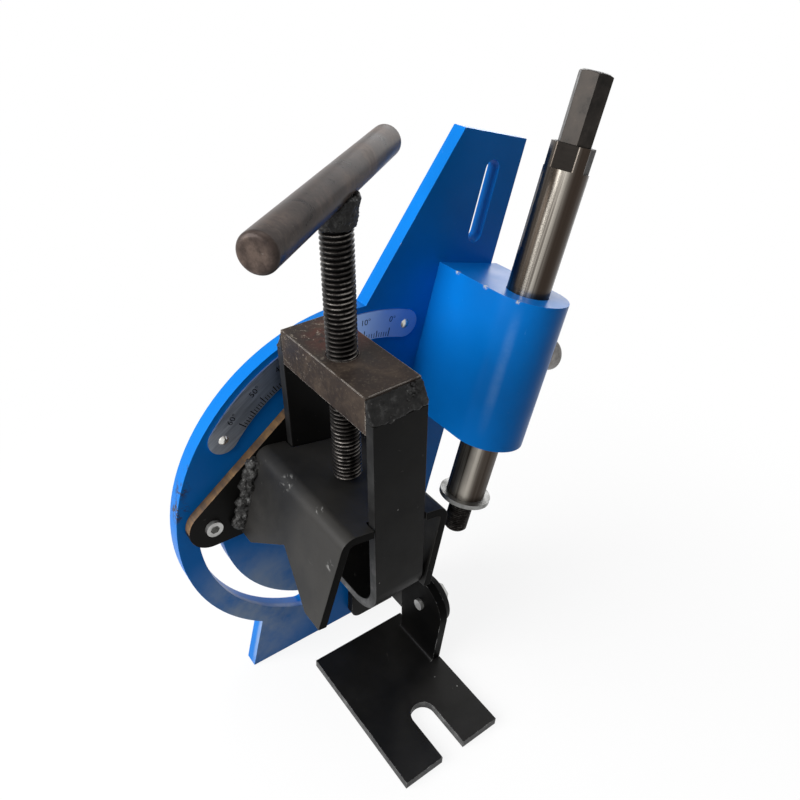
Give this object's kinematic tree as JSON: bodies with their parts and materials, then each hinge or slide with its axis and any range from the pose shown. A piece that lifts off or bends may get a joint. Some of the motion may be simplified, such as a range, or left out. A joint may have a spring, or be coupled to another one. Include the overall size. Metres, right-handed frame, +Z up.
{
  "type": "bench tube notcher",
  "caption": "Bench tube notcher: swinging angle plate with degree scale and bearing block for a hole saw arbor, plus a screw yoke that clamps tube in a vee saddle.",
  "frame": {"origin": "centre of the bench foot's underside, on the bench", "axes": "+X along the tube, to the viewer's right; +Y away from the viewer, towards the angle plate; +Z up"},
  "size_m": [0.2436, 0.1572, 0.3887],
  "materials": {
    "blue_paint": "gloss blue paint with chips and scuffs",
    "black_paint": "satin black paint with scuffs and worn edges",
    "raw_iron": "brown-black scale with rust stains",
    "weld_metal": "rough painted weld bead",
    "black_oxide": "oiled black oxide",
    "bright_steel": "ground and polished, slightly stained",
    "zinc": "dull zinc plate",
    "scale_aluminium": "brushed, with black marks",
    "bronze": "oiled bearing bronze"
  },
  "bodies": {
    "base": {"bench_foot": "black_paint", "swivel_bolt": "zinc", "swivel_washer": "zinc"},
    "clamp_frame": {"swivel_lug": "black_paint", "pivot_plate": "black_paint", "pivot_screw": "zinc", "pivot_washer": "zinc", "pivot_nut": "zinc", "lock_stud": "zinc", "lock_washer": "zinc", "lock_nut": "zinc", "v_saddle": "black_paint", "saddle_welds": "weld_metal"},
    "swing_plate": {"angle_plate": "blue_paint", "angle_scale": "scale_aluminium", "scale_rivets": "bright_steel", "bearing_block": "blue_paint", "upper_bush": "bronze", "lower_bush": "bronze", "block_bolts": "zinc", "block_washers": "zinc", "grease_cup": "bright_steel"},
    "arbor_feed": {"thrust_washer": "zinc"},
    "arbor": {"arbor_shaft": "bright_steel", "drive_hex": "black_oxide", "saw_stud": "black_oxide"},
    "screw": {"clamp_screw": "black_oxide", "t_handle": "raw_iron", "handle_weld": "weld_metal"},
    "yoke": {"yoke_strap": "black_paint", "yoke_nut_block": "raw_iron", "yoke_welds": "weld_metal"}
  },
  "joints": [
    {"name": "bench_swivel", "type": "hinge", "parent": "base", "child": "clamp_frame", "pos_m": [0.0375, 0.025, 0.048], "axis": [1, 0, 0], "range_deg": [-15, 30]},
    {"name": "plate_angle", "type": "hinge", "parent": "clamp_frame", "child": "swing_plate", "pos_m": [0.0105, 0.079, 0.138], "axis": [0, 1, 0], "range_deg": [0, 60]},
    {"name": "arbor_travel", "type": "slide", "parent": "swing_plate", "child": "arbor_feed", "axis": [0.2164, 0, 0.9763], "range_m": [-0.015, 0.045]},
    {"name": "arbor_spin", "type": "hinge", "parent": "arbor_feed", "child": "arbor", "pos_m": [0.06273, 0.0275, 0.12642], "axis": [0.2164, 0, 0.9763], "continuous": true},
    {"name": "screw_turn", "type": "hinge", "parent": "clamp_frame", "child": "screw", "pos_m": [-0.03745, 0.0275, 0.35059], "axis": [0.0523, 0, -0.9986], "range_deg": [-5760, 4320]},
    {"name": "yoke_lift", "type": "slide", "parent": "clamp_frame", "child": "yoke", "axis": [-0.0523, 0, 0.9986], "range_m": [-0.0401, 0.0301]}
  ],
  "couplings": [
    {"joint": "yoke_lift", "follows": "screw_turn", "m_per_rad": 0.00039789}
  ]
}
